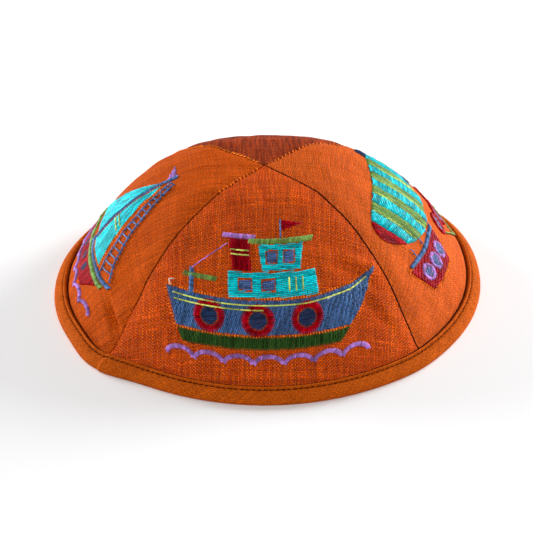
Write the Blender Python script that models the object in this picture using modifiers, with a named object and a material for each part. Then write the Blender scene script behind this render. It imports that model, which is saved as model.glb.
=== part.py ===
"""A four-panel cloth skullcap: a domed cap sewn from four lined panels, with a folded tape round its rim.

Metres, +Z up. The origin is on the table under the middle of the rim, and the front panel faces -Y.
Azimuths are in degrees from the front (-Y), and positive towards +X, the right as the front is looked at.
"""

import functools
import math
from collections import namedtuple

import bmesh
import bpy
from mathutils import Vector

# Driving sizes
RIM_RADIUS = 0.085
CROWN_HEIGHT = 0.052
PANEL_WALL = 0.0014
TAPE_WALL = 0.0010
SEWING_GAP = 0.0004
TAPE_LEG = 0.0045

# How far the table flattens the tape's fold
FOLD_FLATTENING = 0.0005

# The panels stand out over the line that the tape pulls them in to, and reach it in a short run
PULLED_IN = 0.0008
PULLED_RUN = 0.0030

# Each panel rolls down into its seams
SEAM_DIP = 0.0006
SEAM_ROLL = 0.0030

# The dents' full depth
DENT_DEPTH = 0.0012

# The panels' tips end this far from the crown's middle
TIP_RADIUS = 0.0008

# The crown's middle is a little off the rim's, and the seams turn a little towards the crown
CROWN_LEAN_X = -0.0014
CROWN_LEAN_Y = 0.0005
SEAM_TURN = 3.7

# Fineness of the meshes
PANEL_COLUMNS = 20
PANEL_ROWS = 14
PULLED_ROWS = 3
HEM_ROWS = 1
LEG_STEPS = 2
FOLD_STEPS = 8

# A profile through the dome's wall, from apex to rim. radius is a share of the way out to the rim's
# fold, height a share of the crown's height above it, and flatness says how far the level section
# there goes from round (0) to straight between the seams (1).
Station = namedtuple("Station", "radius height flatness")
PROFILE = (
    Station(radius=0.000, height=1.000, flatness=0.00),
    Station(radius=0.150, height=0.997, flatness=0.12),
    Station(radius=0.300, height=0.982, flatness=0.19),
    Station(radius=0.450, height=0.898, flatness=0.19),
    Station(radius=0.600, height=0.758, flatness=0.16),
    Station(radius=0.750, height=0.532, flatness=0.10),
    Station(radius=0.870, height=0.254, flatness=0.04),
    Station(radius=0.955, height=0.050, flatness=0.00),
    Station(radius=1.000, height=0.000, flatness=0.00),
)

# The plan, which is only roughly round, of the dome's wall and of the tape's rim, as shares of the
# rim's radius. The wall goes over from one to the other in its last stretch.
PlanPoint = namedtuple("PlanPoint", "azimuth dome rim")
PLAN = (
    PlanPoint(azimuth=-180, dome=0.960, rim=0.970),
    PlanPoint(azimuth=-150, dome=0.972, rim=0.962),
    PlanPoint(azimuth=-120, dome=1.003, rim=0.972),
    PlanPoint(azimuth=-90, dome=0.998, rim=1.000),
    PlanPoint(azimuth=-60, dome=1.034, rim=1.034),
    PlanPoint(azimuth=-30, dome=1.008, rim=1.019),
    PlanPoint(azimuth=0, dome=1.002, rim=1.013),
    PlanPoint(azimuth=30, dome=0.990, rim=1.004),
    PlanPoint(azimuth=60, dome=0.992, rim=1.001),
    PlanPoint(azimuth=90, dome=1.009, rim=1.008),
    PlanPoint(azimuth=120, dome=1.055, rim=1.032),
    PlanPoint(azimuth=150, dome=1.015, rim=1.003),
)

# Where the thick seam ends push the tape out to a blunt corner: reach is a share of the rim's
# radius, and half_width is in degrees
Corner = namedtuple("Corner", "azimuth reach half_width")
TAPE_CORNERS = (
    Corner(azimuth=-47, reach=0.036, half_width=9.0),
    Corner(azimuth=42, reach=0.006, half_width=9.0),
)

# The rim's own plan and its corners fade up the wall as this power of the way out
RIM_FADE = 10

# Soft dents. radius is a share of the way out, wide and tall are shares of the rim's radius (half
# sizes across and up the panel), and depth is a share of the dents' full depth, in if positive.
Dent = namedtuple("Dent", "azimuth radius wide tall depth")
DENTS = (
    Dent(azimuth=-53, radius=0.86, wide=0.06, tall=0.15, depth=0.90),
    Dent(azimuth=-62, radius=0.78, wide=0.07, tall=0.12, depth=-0.50),
    Dent(azimuth=-20, radius=0.38, wide=0.20, tall=0.10, depth=0.50),
    Dent(azimuth=33, radius=0.62, wide=0.10, tall=0.08, depth=0.70),
    Dent(azimuth=35, radius=0.75, wide=0.09, tall=0.07, depth=0.70),
    Dent(azimuth=2, radius=0.90, wide=0.30, tall=0.05, depth=0.40),
    Dent(azimuth=62, radius=0.84, wide=0.12, tall=0.08, depth=0.50),
    Dent(azimuth=100, radius=0.55, wide=0.12, tall=0.14, depth=0.40),
    Dent(azimuth=-95, radius=0.88, wide=0.28, tall=0.06, depth=0.40),
    Dent(azimuth=-140, radius=0.80, wide=0.14, tall=0.10, depth=0.60),
    Dent(azimuth=177, radius=0.38, wide=0.10, tall=0.12, depth=1.00),
    Dent(azimuth=150, radius=0.85, wide=0.12, tall=0.08, depth=0.60),
)

# The panels, in order round the cap from the front one
Panel = namedtuple("Panel", "name red green blue roughness")
PANELS = (
    Panel(name="panel_front", red=0.56, green=0.13, blue=0.03, roughness=0.62),
    Panel(name="panel_right", red=0.76, green=0.20, blue=0.03, roughness=0.60),
    Panel(name="panel_back", red=0.36, green=0.07, blue=0.02, roughness=0.64),
    Panel(name="panel_left", red=0.60, green=0.17, blue=0.02, roughness=0.62),
)
TAPE = Panel(name="rim_binding", red=0.62, green=0.20, blue=0.03, roughness=0.75)

# What follows from the sizes: the fold is a half round about the end of the panels' wall, and the
# panels' raw edge stays clear of where the table flattens it
FOLD_RADIUS = PANEL_WALL / 2 + SEWING_GAP + TAPE_WALL
FOLD_HEIGHT = FOLD_RADIUS - FOLD_FLATTENING
HEM_SETBACK = 2 * FOLD_FLATTENING
CROWN_RISE = CROWN_HEIGHT - PANEL_WALL / 2 - FOLD_HEIGHT
HALF_ANGLE = 180.0 / len(PANELS)


def eased(value):
    """A smooth step from 0 to 1 as value goes from 0 to 1."""
    value = max(0.0, min(1.0, value))
    return value * value * (3 - 2 * value)


def cubic(y0, y1, slope0, slope1, width, t):
    """A cubic from y0 to y1, t of the way along a stretch of that width."""
    rise = t * t * (3 - 2 * t)
    return y0 + (y1 - y0) * rise + width * t * (1 - t) * (slope0 * (1 - t) - slope1 * t)


def profile_slopes(column):
    """Slopes at the profile's stations that never overshoot them."""
    runs = [b.radius - a.radius for a, b in zip(PROFILE, PROFILE[1:])]
    rises = [getattr(b, column) - getattr(a, column) for a, b in zip(PROFILE, PROFILE[1:])]
    steep = [rise / run for rise, run in zip(rises, runs)]
    inner = [2 * a * b / (a + b) if a * b > 0 else 0.0 for a, b in zip(steep, steep[1:])]
    return [0.0] + inner + [steep[-1]]


PROFILE_SLOPES = {column: profile_slopes(column) for column in ("height", "flatness")}


def profile(column, share):
    """A column of the profile, share of the way out from the apex to the rim's fold."""
    slopes = PROFILE_SLOPES[column]
    for i, (a, b) in enumerate(zip(PROFILE, PROFILE[1:])):
        if share <= b.radius or b is PROFILE[-1]:
            width = b.radius - a.radius
            t = (share - a.radius) / width
            return cubic(getattr(a, column), getattr(b, column), slopes[i], slopes[i + 1], width, t)


def turn_between(azimuth, other):
    """The turn from other to azimuth, from -180 to 180 degrees."""
    return (azimuth - other + 180) % 360 - 180


def plan_reach(column, azimuth):
    """How far that column of the plan reaches out there, as a share of the rim's radius."""
    place = (azimuth - PLAN[0].azimuth) * len(PLAN) / 360
    i = math.floor(place)
    before, start, end, after = (getattr(PLAN[(i + k) % len(PLAN)], column) for k in (-1, 0, 1, 2))
    return cubic(start, end, (end - before) / 2, (after - start) / 2, 1.0, place - i)


def rim_reach(azimuth):
    """How far the rim reaches out there, blunt corners and all, as a share of its radius."""
    return plan_reach("rim", azimuth) + sum(
        corner.reach * math.exp(-((turn_between(azimuth, corner.azimuth) / corner.half_width) ** 2))
        for corner in TAPE_CORNERS
    )


def rim_middle():
    """The middle of the rim's box in plan, seen from where the seams' planes cross."""
    azimuths = [HALF_ANGLE * column / PANEL_COLUMNS for column in range(8 * PANEL_COLUMNS)]
    radii = [RIM_RADIUS * rim_reach(azimuth) for azimuth in azimuths]
    x = [radius * math.sin(math.radians(azimuth)) for radius, azimuth in zip(radii, azimuths)]
    y = [-radius * math.cos(math.radians(azimuth)) for radius, azimuth in zip(radii, azimuths)]
    return (min(x) + max(x)) / 2, (min(y) + max(y)) / 2


MIDDLE_X, MIDDLE_Y = rim_middle()


def from_panel_middle(azimuth):
    """The angle from the middle of the panel there, which is greatest at its seams."""
    return abs((azimuth + HALF_ANGLE) % (2 * HALF_ANGLE) - HALF_ANGLE)


def plain_meridian(azimuth, share):
    """Radius and height of the middle of the wall, before seams, dents and the pulled-in edge."""
    flatness = profile("flatness", share)
    chord = math.cos(math.radians(HALF_ANGLE)) / math.cos(math.radians(from_panel_middle(azimuth)))
    dome = 1 + (plan_reach("dome", azimuth) - 1) * share
    rim = 1 + (rim_reach(azimuth) - 1) * share
    plan = dome + (rim - dome) * share**RIM_FADE
    reach = RIM_RADIUS * plan - FOLD_RADIUS + PULLED_IN
    radius = share * reach * (1 - flatness + flatness * chord)
    return radius, FOLD_HEIGHT + CROWN_RISE * profile("height", share)


def outward(azimuth, share):
    """The wall's outward direction in the upright plane there, as radius and height."""
    step = 0.002
    r0, z0 = plain_meridian(azimuth, max(0.0, share - step))
    r1, z1 = plain_meridian(azimuth, min(1.0, share + step))
    length = math.hypot(r1 - r0, z1 - z0)
    return (z0 - z1) / length, (r1 - r0) / length


def length_from_fold(azimuth, share):
    """The wall's length from there down to the rim's fold, near enough for a short run."""
    radius, height = plain_meridian(azimuth, share)
    fold_radius, fold_height = plain_meridian(azimuth, 1.0)
    return math.hypot(fold_radius - radius, height - fold_height)


def share_at_length(azimuth, length):
    """The share of the way out that is that far above the rim's fold, found by halving."""
    low, high = 0.5, 1.0
    for _ in range(30):
        middle = (low + high) / 2
        if length_from_fold(azimuth, middle) > length:
            low = middle
        else:
            high = middle
    return (low + high) / 2


def freed(azimuth, share):
    """0 under the tape, and 1 from the top of the pulled-in run upwards."""
    return eased((length_from_fold(azimuth, share) - TAPE_LEG) / PULLED_RUN)


def sunk(azimuth, share):
    """How far seams and dents take the wall in. The tape smooths them away."""
    radius, _ = plain_meridian(azimuth, share)
    to_seam = radius * math.radians(HALF_ANGLE - from_panel_middle(azimuth))
    depth = SEAM_DIP * eased(radius / (3 * SEAM_ROLL)) * math.exp(-((to_seam / SEAM_ROLL) ** 2))
    for dent in DENTS:
        turn = turn_between(azimuth, dent.azimuth)
        across = radius * math.radians(turn) / (dent.wide * RIM_RADIUS)
        along = (share - dent.radius) / dent.tall
        depth += DENT_DEPTH * dent.depth * math.exp(-(across**2) - along**2)
    return depth * freed(azimuth, share)


def wall_point(azimuth, share, out=0.0):
    """A point that lies out metres outside the middle of the panels' wall."""
    radius, height = plain_meridian(azimuth, share)
    out_radius, out_height = outward(azimuth, share)
    out -= sunk(azimuth, share)
    turned = math.radians(azimuth + SEAM_TURN * (1 - share))
    radius += out * out_radius - PULLED_IN * (1 - freed(azimuth, share))
    lean = 1 - share * share
    return Vector((
        radius * math.sin(turned) + CROWN_LEAN_X * lean - MIDDLE_X,
        -radius * math.cos(turned) + CROWN_LEAN_Y * lean - MIDDLE_Y,
        height + out * out_height,
    ))


def cloth(finish):
    made = bpy.data.materials.new(finish.name + "_cloth")
    made.use_nodes = True
    shader = made.node_tree.nodes["Principled BSDF"]
    shader.inputs["Base Color"].default_value = (finish.red, finish.green, finish.blue, 1.0)
    shader.inputs["Roughness"].default_value = finish.roughness
    shader.inputs["Metallic"].default_value = 0.0
    return made


def placed_grid(columns, rows, place):
    """An open grid whose vertices are placed by place(column, row)."""
    bm = bmesh.new()
    bmesh.ops.create_grid(bm, x_segments=columns, y_segments=rows, size=0.5)
    for vertex in bm.verts:
        column = round((vertex.co.x + 0.5) * columns)
        row = round((vertex.co.y + 0.5) * rows)
        vertex.co = place(column, row)
    bmesh.ops.reverse_faces(bm, faces=bm.faces)
    return bm


def walled_piece(finish, bm, thickness, offset, collection):
    """A cloth piece with a wall of that thickness on an open surface, which is used up."""
    mesh = bpy.data.meshes.new(finish.name)
    bm.to_mesh(mesh)
    bm.free()
    mesh.shade_smooth()
    piece = bpy.data.objects.new(finish.name, mesh)
    piece.data.materials.append(cloth(finish))
    solidify = piece.modifiers.new("wall", "SOLIDIFY")
    solidify.thickness = thickness
    solidify.offset = offset
    collection.objects.link(piece)


def column_azimuth(index, column):
    """The azimuth of a panel's column. Columns stand closer together near the seams."""
    return HALF_ANGLE * (2 * index + math.sin(math.pi / 2 * (2 * column / PANEL_COLUMNS - 1)))


@functools.cache
def row_shares(azimuth):
    """The shares of a panel's rows, from its tip to its hem."""
    tip = TIP_RADIUS / RIM_RADIUS
    pulled_top = share_at_length(azimuth, TAPE_LEG + PULLED_RUN)
    tape_top = share_at_length(azimuth, TAPE_LEG)
    hem = share_at_length(azimuth, HEM_SETBACK)
    shares = [tip + (pulled_top - tip) * i / PANEL_ROWS for i in range(PANEL_ROWS)]
    shares += [pulled_top + (tape_top - pulled_top) * i / PULLED_ROWS for i in range(PULLED_ROWS)]
    return shares + [tape_top + (hem - tape_top) * i / HEM_ROWS for i in range(HEM_ROWS + 1)]


def panel(index, collection):
    """A lined cloth panel between two seams, from its tip at the crown to its hem inside the tape."""
    middle = 2 * HALF_ANGLE * index

    def place(column, row):
        azimuth = column_azimuth(index, column)
        share = row_shares(azimuth)[row]
        radius, _ = plain_meridian(middle + HALF_ANGLE, share)
        kept = 1 - math.degrees(SEWING_GAP / 2 / radius) / HALF_ANGLE
        return wall_point(middle + (azimuth - middle) * kept, share)

    bm = placed_grid(PANEL_COLUMNS, PANEL_ROWS + PULLED_ROWS + HEM_ROWS, place)
    walled_piece(PANELS[index], bm, PANEL_WALL, 0.0, collection)


def tape_section(azimuth):
    """The tape's outer skin there, from its outside edge round the fold to its inside edge."""
    legs = [share_at_length(azimuth, TAPE_LEG * (1 - i / LEG_STEPS)) for i in range(LEG_STEPS)]
    outside = [wall_point(azimuth, share, FOLD_RADIUS) for share in legs]
    inside = [wall_point(azimuth, share, -FOLD_RADIUS) for share in reversed(legs)]
    out_radius, out_height = outward(azimuth, 1.0)
    level = Vector((math.sin(math.radians(azimuth)), -math.cos(math.radians(azimuth)), 0.0))
    start = math.atan2(out_height, out_radius)
    fold = []
    for i in range(FOLD_STEPS + 1):
        angle = start - math.pi * i / FOLD_STEPS
        point = wall_point(azimuth, 1.0) + FOLD_RADIUS * math.cos(angle) * level
        point.z = max(0.0, point.z + FOLD_RADIUS * math.sin(angle))
        fold.append(point)
    return outside + fold + inside


def rim_binding(collection):
    """The folded tape round the rim, open upwards on both sides of the panels."""
    segments = len(PANELS) * PANEL_COLUMNS
    sections = [tape_section(column_azimuth(*divmod(i, PANEL_COLUMNS))) for i in range(segments)]
    rows = len(sections[0]) - 1
    bm = placed_grid(segments, rows, lambda column, row: sections[column % segments][row])
    bmesh.ops.remove_doubles(bm, verts=bm.verts, dist=SEWING_GAP / 10)
    walled_piece(TAPE, bm, TAPE_WALL, -1.0, collection)


def main():
    for old in list(bpy.data.objects):
        bpy.data.objects.remove(old)
    collection = bpy.data.collections.new("embroidered_kippah")
    bpy.context.scene.collection.children.link(collection)
    for index in range(len(PANELS)):
        panel(index, collection)
    rim_binding(collection)


main()
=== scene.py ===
"""Looks of the embroidered four-panel skullcap: silk, tape, top-stitching, embroidery, light and camera.

Metres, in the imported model's frame: +Z up, the front panel towards -Y. Azimuths are in degrees from the
front and positive towards +X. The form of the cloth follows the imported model's own rule. A place on a
panel's cloth is (across, up): across from the panel's middle line, and up from the rim's fold.
"""

import math
from collections import namedtuple

import bmesh
import bpy
import numpy as np
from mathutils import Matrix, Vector


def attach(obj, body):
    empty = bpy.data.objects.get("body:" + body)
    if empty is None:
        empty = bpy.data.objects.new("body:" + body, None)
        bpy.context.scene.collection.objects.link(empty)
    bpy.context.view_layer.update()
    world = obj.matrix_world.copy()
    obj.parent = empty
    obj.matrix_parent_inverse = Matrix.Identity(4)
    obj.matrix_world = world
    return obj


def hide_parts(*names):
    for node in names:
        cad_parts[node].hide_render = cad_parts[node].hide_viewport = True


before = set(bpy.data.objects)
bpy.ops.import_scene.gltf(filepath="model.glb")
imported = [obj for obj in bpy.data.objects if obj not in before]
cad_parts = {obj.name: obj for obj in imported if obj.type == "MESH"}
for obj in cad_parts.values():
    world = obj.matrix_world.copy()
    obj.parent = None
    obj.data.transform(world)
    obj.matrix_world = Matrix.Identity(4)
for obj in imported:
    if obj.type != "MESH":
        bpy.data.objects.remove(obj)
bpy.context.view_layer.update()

MM = 0.001
SEED = 11


def table(columns, *rows):
    """Rows of values under the names of their columns."""
    kind = namedtuple("Row", columns)
    return tuple(kind(*row) for row in rows)


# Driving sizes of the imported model
RIM_RADIUS = 0.085
CROWN_HEIGHT = 0.052
PANEL_WALL = 0.0014
TAPE_WALL = 0.0010
SEWING_GAP = 0.0004
TAPE_LEG = 0.0045
FOLD_FLATTENING = 0.0005
PULLED_IN = 0.0008
PULLED_RUN = 0.0030
SEAM_DIP = 0.0006
SEAM_ROLL = 0.0030
DENT_DEPTH = 0.0012
TIP_RADIUS = 0.0008
HALF_ANGLE = 45.0
CROWN_LEAN_X = -0.0014
CROWN_LEAN_Y = 0.0005
SEAM_TURN = 3.7

# The dome's profile from apex to rim, as shares of the way out and of the crown's height
PROFILE = table(
    "radius height flatness",
    (0.000, 1.000, 0.00),
    (0.150, 0.997, 0.12),
    (0.300, 0.982, 0.19),
    (0.450, 0.898, 0.19),
    (0.600, 0.758, 0.16),
    (0.750, 0.532, 0.10),
    (0.870, 0.254, 0.04),
    (0.955, 0.050, 0.00),
    (1.000, 0.000, 0.00),
)

# The plan of the dome's wall and of the tape's rim, as shares of the rim's radius
PLAN = table(
    "azimuth dome rim",
    (-180, 0.960, 0.970),
    (-150, 0.972, 0.962),
    (-120, 1.003, 0.972),
    (-90, 0.998, 1.000),
    (-60, 1.034, 1.034),
    (-30, 1.008, 1.019),
    (0, 1.002, 1.013),
    (30, 0.990, 1.004),
    (60, 0.992, 1.001),
    (90, 1.009, 1.008),
    (120, 1.055, 1.032),
    (150, 1.015, 1.003),
)
TAPE_CORNERS = table(
    "azimuth reach half_width",
    (-47, 0.036, 9.0),
    (42, 0.006, 9.0),
)
RIM_FADE = 10

# Soft dents: radius is a share of the way out, wide and tall are shares of the rim's radius
DENTS = table(
    "azimuth radius wide tall depth",
    (-53, 0.86, 0.06, 0.15, 0.90),
    (-62, 0.78, 0.07, 0.12, -0.50),
    (-20, 0.38, 0.20, 0.10, 0.50),
    (33, 0.62, 0.10, 0.08, 0.70),
    (35, 0.75, 0.09, 0.07, 0.70),
    (2, 0.90, 0.30, 0.05, 0.40),
    (62, 0.84, 0.12, 0.08, 0.50),
    (100, 0.55, 0.12, 0.14, 0.40),
    (-95, 0.88, 0.28, 0.06, 0.40),
    (-140, 0.80, 0.14, 0.10, 0.60),
    (177, 0.38, 0.10, 0.12, 1.00),
    (150, 0.85, 0.12, 0.08, 0.60),
)

# The tape's end laps over its start: azimuths in degrees of its turned edge and of where the lap fades out
LAP_EDGE = -44.4
LAP_FADED = -31.0
LAP_STEP = 0.45
LAP_RISE = 0.0010

# Fineness of the measuring
PLAN_STEP = 2.25
MERIDIAN_STEP = 0.002
MERIDIAN_POINTS = 500
HALVINGS = 30

# Fineness of the silk and the tape, and the distance within which points are one
WELD = 1e-7
SILK_COLUMNS = 120
SILK_ROWS = 130
SEAM_CROWDING = 0.93
TAPE_COLUMNS = 800
FOLD_STEPS = 12

# The silk at the seams: how it turns down into the ditch, and the small puckers its stitches draw
SILK_GAP = 0.00022
DITCH_RADIUS = 0.0006
DITCH_DEPTH = 0.0012
SEAM_PUCKER = 0.00009
SEAM_PUCKER_RUN = 0.0024
SEAM_STITCH = 0.0023
HEM_SETBACK = 2 * FOLD_FLATTENING
ALLOWANCE_RISE = 0.0004
ALLOWANCE_PLACE = 0.0030
ALLOWANCE_WIDTH = 0.0022

# Long soft ripples of the cloth: turn in degrees, length in metres, depth in metres
RIPPLES = table(
    "turn length depth phase",
    (12, 0.0210, 0.00011, 0.4),
    (71, 0.0163, 0.00010, 2.1),
    (128, 0.0119, 0.00008, 4.0),
    (160, 0.0087, 0.00006, 1.3),
    (95, 0.0061, 0.00004, 5.2),
)

# Creases that the dense needlework and the rim draw in the cloth: turn is that of the line in plan
CREASES = table(
    "azimuth radius turn length width depth",
    (35.5, 0.632, 2, 0.0075, 0.0018, -0.00095),
    (35.0, 0.688, 4, 0.0070, 0.0018, 0.00100),
    (37.5, 0.775, -20, 0.0060, 0.0018, -0.00050),
    (37.0, 0.820, -20, 0.0060, 0.0020, 0.00060),
    (23.0, 0.900, 8, 0.0070, 0.0018, 0.00050),
    (-51.8, 0.884, -74, 0.0042, 0.0009, 0.00210),
    (-48.6, 0.903, -60, 0.0040, 0.0009, 0.00240),
    (-49.4, 0.866, -62, 0.0050, 0.0018, -0.00060),
    (-54.5, 0.905, -66, 0.0060, 0.0020, -0.00035),
    (-47.6, 0.800, -58, 0.0040, 0.0020, 0.00050),
    (-27, 0.42, 35, 0.0100, 0.0030, 0.00050),
    (-14, 0.90, 10, 0.0150, 0.0022, 0.00035),
    (16, 0.91, -14, 0.0160, 0.0024, 0.00035),
    (62, 0.62, 20, 0.0100, 0.0020, 0.00040),
    (128, 0.70, 60, 0.0110, 0.0022, 0.00060),
    (-133, 0.74, -50, 0.0120, 0.0024, 0.00060),
    (170, 0.82, 5, 0.0140, 0.0024, 0.00050),
)

# The tape's skin on the outside, from its turned edge down to its fold, and then on the inside. length is a
# share of the tape's leg, up from the fold. out is a share of the fold's radius, out from the silk's middle.
GROOVE_LENGTH = 0.655
GROOVE_OUT = 0.76
TAPE_FACE = table(
    "length out",
    (0.760, 0.44),
    (0.900, 0.46),
    (0.985, 0.56),
    (1.010, 0.74),
    (1.005, 0.93),
    (0.960, 1.13),
    (0.890, 1.17),
    (0.800, 1.13),
    (0.735, 0.98),
    (0.690, 0.82),
    (GROOVE_LENGTH, GROOVE_OUT),
    (0.615, 0.83),
    (0.555, 0.96),
    (0.480, 1.03),
    (0.340, 1.05),
    (0.180, 1.03),
    (0.060, 1.01),
)
TAPE_BACK = table(
    "length out",
    (0.100, 1.00),
    (0.350, 0.99),
    (0.550, 0.96),
    (GROOVE_LENGTH, 0.88),
    (0.790, 0.95),
    (0.900, 0.94),
    (0.960, 0.80),
    (0.970, 0.60),
    (0.940, 0.42),
    (0.760, 0.42),
)
CHANNEL_LENGTHS = (0.70, 0.40, 0.10)

# The tape's top-stitches, the pits and drag lines they leave in it, and their thread, whose lift is a share
# of its radius
TAPE_STITCH = 0.0022
TAPE_STITCH_LENGTH = 0.0018
TAPE_STITCH_SLANT = 0.0003
TAPE_PIT = 0.00030
TAPE_PIT_RUN = 0.0006
TAPE_DRAG = 0.00006
TAPE_DRAG_LENGTH = 0.0047
TAPE_THREAD_RADIUS = 0.00018
TAPE_THREAD_LIFT = 1.3

# Needlework. Lifts are above the silk, and pairs are the ends of a range of shares. STAGGER and RUN_OVERLAP
# are shares of a stitch, and WAVE_TURN is in radians a row.
THREAD_RADIUS = 0.00027
ROW_PITCH = 0.00066
STITCH_LENGTH = 0.0040
SHORTEST_STITCH = 0.0007
STAGGER = 0.382
WAVE_TURN = 0.21
EDGE_STRAY = 0.00018
FILL_OVERLAP = 0.00020
UNDERLAY_RADIUS = 0.00050
UNDERLAY_PITCH = 0.00085
UNDERLAY_LENGTH = 0.0090
UNDERLAY_LIFT = -0.00020
UNDERLAY_INSET = 0.00050
CUT_STRAY = 0.00015
FILL_LIFT = 0.00030
PANE_LIFT = 0.00018
RING_FLOOR_LIFT = 0.00022
LAMP_LIFT = 0.00040
INLAY_LIFT = 0.00046
FILL_RISES = (0.75, 1.20)
FILL_RADII = (0.82, 1.08)
SATIN_LIFT = 0.00058
SATIN_PITCH = 0.00068
SATIN_RADIUS = 0.00031
SATIN_WIDTHS = (0.95, 1.05)
SATIN_RISES = (0.78, 1.12)
SATIN_RADII = (0.88, 1.12)
STITCH_DIP = 0.00016
RUN_STITCH = 0.0021
RUN_RADIUS = 0.00030
THIN_RUN = 0.00024
FINE_RUN = 0.00018
STRING_RUN = 0.00026
POLE_RUN = 0.00032
STAY_RUN = 0.00034
LOOSE_RUN = 0.00020
RUN_LIFT = 0.00075
LOW_RUN_LIFT = 0.00060
LOOSE_LIFT = 0.00090
LOOSE_TOP_LIFT = 0.00100
RUN_OVERLAP = 0.06
TICK_PITCH = 0.0011
TICK_LENGTH = 0.0009
TICK_LENGTHS = (0.5, 1.2)
TICK_GAP = 0.00020
TICK_RADIUS = 0.00023
TICK_LIFT = 0.00030

# Stretches of the seams on which short stitches show: start and end are shares of the way out
SEAM_STITCHES = table(
    "azimuth start end pitch reach",
    (-135, 0.05, 0.92, 0.0017, 0.0007),
    (135, 0.03, 0.92, 0.0020, 0.0006),
    (-45, 0.05, 0.30, 0.0019, 0.0005),
)

# Stretches of the seams' ditches that hold a dark cord of painted shadow, as shares of the way out
SEAM_SHADOW_LINES = table(
    "azimuth start end radius",
    (45, 0.01, 1.00, 0.00050),
    (-45, 0.01, 0.86, 0.00031),
    (-135, 0.01, 1.00, 0.00028),
)
SEAM_SHADOW_DEPTH = 0.00050

# The dark cord of painted shadow in the ditch beside the tape, whose way up is a share of the tape's leg
TAPE_DITCH_UP = 1.065
TAPE_DITCH_RISE = 0.0001
TAPE_DITCH_RADIUS = 0.00025

# The short stitches' unevenness, as shares of their pitch and reach, and how they lie
SEAM_PITCH_STRAY = 0.15
SEAM_REACHES = (0.7, 1.2)
SEAM_STITCH_OVER = 0.6
SEAM_STITCH_LEAN = 0.4
SEAM_STITCH_LIFT = 0.0003
SEAM_THREAD_RADIUS = 0.00022

# A stitch's knots: how far along it they are, how far they rise out of the cloth, and how thick they are.
# A long line of thread has many knots and the same thickness at each.
KNOT_PLACES = np.array([0.0, 0.14, 0.5, 0.86, 1.0])
KNOT_LIFTS = np.array([-0.1, 0.82, 1.0, 0.82, -0.1])
THREAD_TAPER = np.array([0.75, 1.0, 1.0, 1.0, 0.75])
LINE_KNOTS = 320

# Arcs in the charts have a point about every so many degrees, and at least so many points
ARC_STEP = 6
ARC_POINTS = 9

THREADS = table(
    "name colour roughness gloss",
    ("turquoise_thread", (0.001, 0.640, 0.720), 0.32, 0.30),
    ("steel_blue_thread", (0.060, 0.150, 0.350), 0.32, 0.45),
    ("navy_thread", (0.018, 0.045, 0.120), 0.36, 0.15),
    ("dark_red_thread", (0.380, 0.001, 0.010), 0.36, 0.10),
    ("olive_thread", (0.190, 0.340, 0.070), 0.32, 0.30),
    ("dark_green_thread", (0.030, 0.085, 0.015), 0.36, 0.15),
    ("mauve_thread", (0.430, 0.200, 0.600), 0.32, 0.35),
    ("lime_thread", (0.600, 0.680, 0.130), 0.32, 0.35),
    ("ivory_thread", (0.800, 0.780, 0.700), 0.40, 0.30),
    ("ground_thread", (0.950, 0.230, 0.015), 0.50, 0.10),
    # a near-black cord laid in the ditches beside the tape and in the seams, which stands in for their
    # shadow: painted shadow
    ("tape_thread", (0.025, 0.005, 0.002), 0.90, 0.03),
    # the top-stitches are real, and their dark colour is painted shade of the pits they sink into
    ("top_stitch_thread", (0.085, 0.019, 0.005), 0.90, 0.03),
)
# The first colours are used for fills. Their underlay lies in the shade of the stitches over it, so its
# thread is darker, and dull as the tape's is.
FILL_COLOURS = 8
UNDERLAY_SHADE = 0.30
THREADS += tuple(
    thread._replace(
        name=thread.name.replace("thread", "underlay"),
        colour=tuple(UNDERLAY_SHADE * share for share in thread.colour),
        roughness=THREADS[-1].roughness,
        gloss=THREADS[-1].gloss,
    )
    for thread in THREADS[:FILL_COLOURS]
)
THREAD_NAMES = [thread.name for thread in THREADS]

# Cloths: turn is the warp's in degrees, pitch and stray are in metres, and the rest are shares
Cloth = namedtuple(
    "Cloth",
    "turn pitch stray warp_dark warp_light weft_dark weft_light pit specks streaks patches slubs relief ribs"
    " flecks fleck_colour",
)
# Each panel's colours are partly the silk's own and partly painted light: the shot silk's change of colour
# with the angle it is seen and lit at, and how brightly each side is lit, are set in them
SILKS = {
    "front": Cloth(
        turn=0, pitch=0.00062, stray=0.0004,
        warp_dark=(0.72, 0.048, 0.001), warp_light=(1.00, 0.186, 0.004),
        weft_dark=(0.20, 0.010, 0.001), weft_light=(0.92, 0.118, 0.003),
        pit=0.24, specks=0.64, streaks=0.26, patches=0.22, slubs=0.35, relief=1.0, ribs=0.06,
        flecks=0.50, fleck_colour=(0.38, 0.100, 0.066),
    ),
    "right": Cloth(
        turn=90, pitch=0.00050, stray=0.0003,
        warp_dark=(0.72, 0.090, 0.004), warp_light=(0.86, 0.160, 0.010),
        weft_dark=(0.36, 0.036, 0.004), weft_light=(0.84, 0.134, 0.006),
        pit=0.34, specks=0.50, streaks=0.20, patches=0.14, slubs=0.20, relief=0.9, ribs=0.26,
        flecks=0.40, fleck_colour=(0.48, 0.170, 0.090),
    ),
    "back": Cloth(
        turn=0, pitch=0.00058, stray=0.0006,
        warp_dark=(0.18, 0.017, 0.002), warp_light=(0.72, 0.090, 0.006),
        weft_dark=(0.11, 0.018, 0.008), weft_light=(0.37, 0.048, 0.010),
        pit=0.30, specks=0.64, streaks=0.45, patches=0.20, slubs=0.55, relief=1.0, ribs=0.08,
        flecks=0.45, fleck_colour=(0.24, 0.084, 0.070),
    ),
    "left": Cloth(
        turn=0, pitch=0.00046, stray=0.0003,
        warp_dark=(0.48, 0.048, 0.001), warp_light=(0.94, 0.150, 0.003),
        weft_dark=(0.30, 0.030, 0.001), weft_light=(0.76, 0.112, 0.003),
        pit=0.38, specks=0.50, streaks=0.20, patches=0.16, slubs=0.15, relief=0.8, ribs=0.0,
        flecks=0.34, fleck_colour=(0.42, 0.140, 0.040),
    ),
}
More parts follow.
